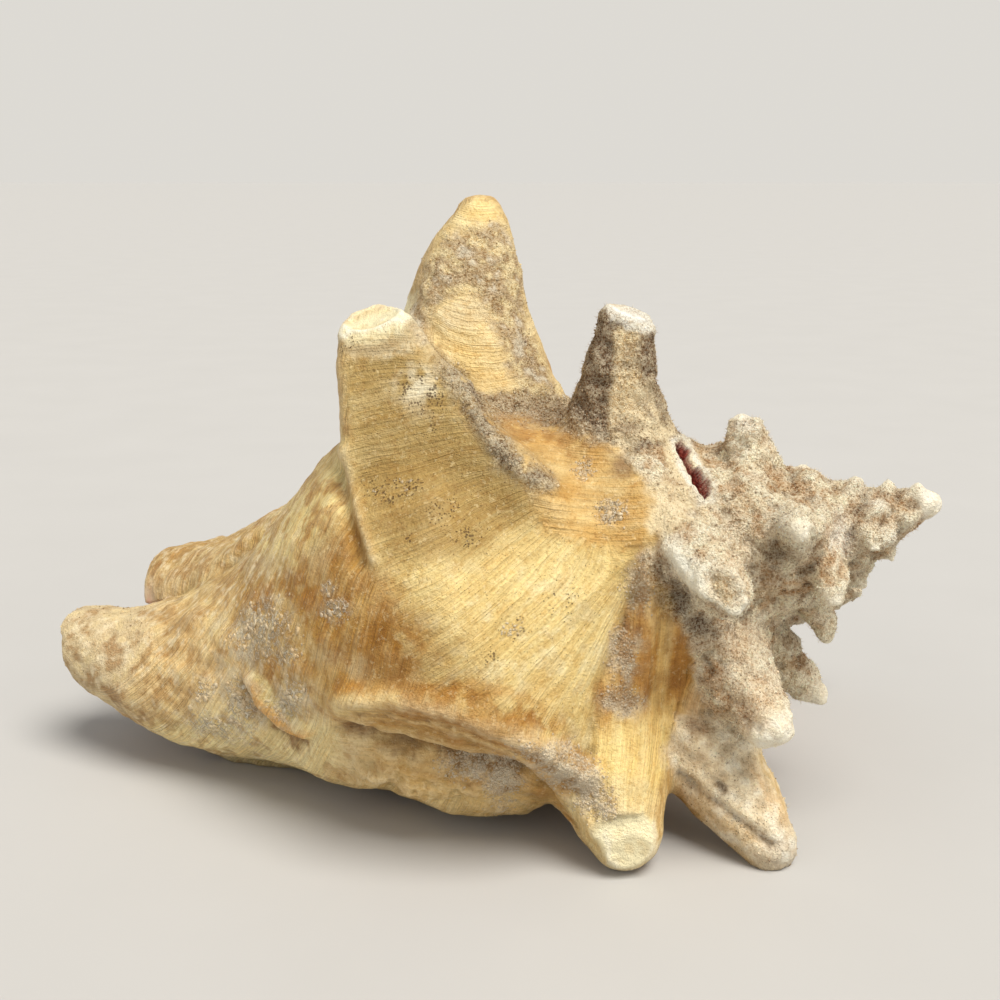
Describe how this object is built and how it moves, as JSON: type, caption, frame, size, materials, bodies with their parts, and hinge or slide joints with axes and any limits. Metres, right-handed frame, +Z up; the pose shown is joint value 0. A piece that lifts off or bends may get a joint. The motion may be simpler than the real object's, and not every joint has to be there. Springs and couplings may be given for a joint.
{
  "type": "queen conch shell",
  "caption": "Large marine snail shell with a knobbed pointed spire, long blunt shoulder spines, a flared lip and an open mouth underneath.",
  "frame": {"origin": "centre of the bounding box on the ground the shell rests on", "axes": "+X along the shell from the siphonal canal to the apex, +Y towards the outer lip, +Z up"},
  "size_m": [0.2248, 0.1452, 0.1484],
  "materials": {
    "shell": "weathered, ochre and cream outside with grey-brown crust, glossy pink inside the lip"
  },
  "bodies": {
    "root": {"shell": "shell"}
  },
  "joints": []
}
